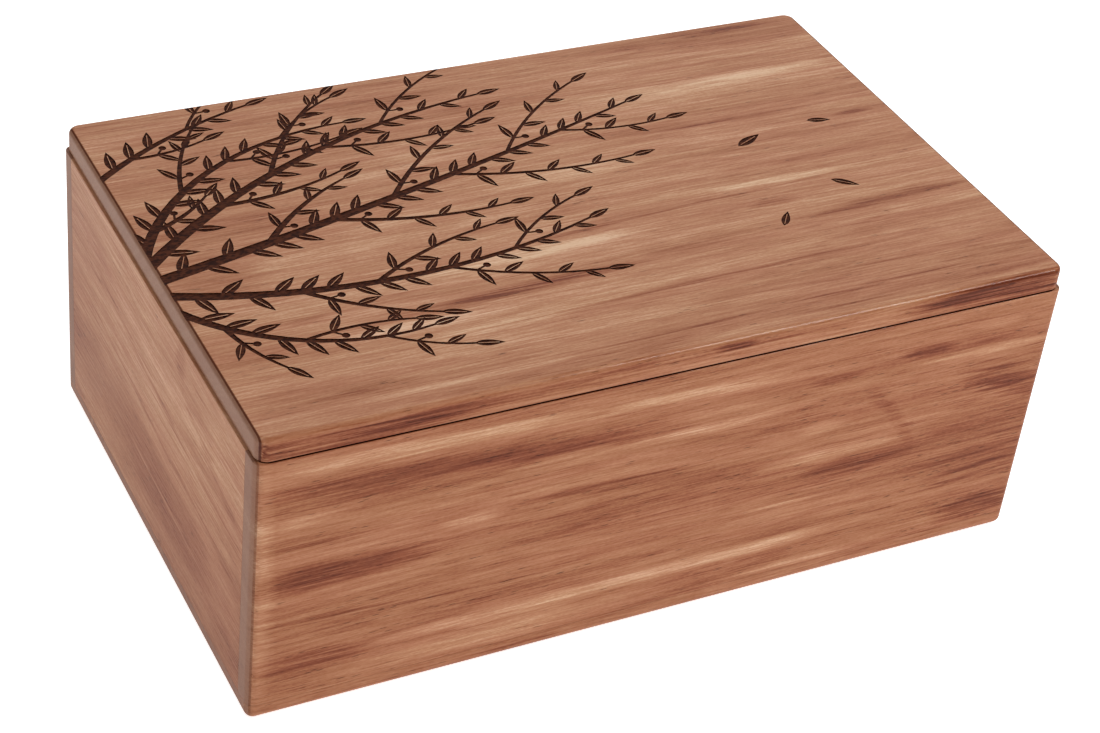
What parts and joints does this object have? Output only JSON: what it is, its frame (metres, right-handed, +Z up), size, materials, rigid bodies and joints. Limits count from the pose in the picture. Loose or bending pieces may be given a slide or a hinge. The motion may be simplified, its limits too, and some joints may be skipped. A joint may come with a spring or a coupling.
{
  "type": "cremation urn box",
  "caption": "Rectangular lacquered wooden urn box with a flat lift-off lid and burnt olive sprays on its top.",
  "frame": {"origin": "middle of the footprint, on the surface the box stands on", "axes": "+X to the right along the front, +Y to the back, +Z up"},
  "size_m": [0.2794, 0.1778, 0.108],
  "materials": {
    "lid_wood": "satin lacquer over streaky tan hardwood, burnt dark brown in the sprays",
    "wall_wood": "satin lacquer over streaky reddish brown hardwood"
  },
  "bodies": {
    "root": {"lid": "lid_wood", "front_board": "wall_wood", "back_board": "wall_wood", "left_end_board": "wall_wood", "right_end_board": "wall_wood", "base_board": "wall_wood"}
  },
  "joints": []
}
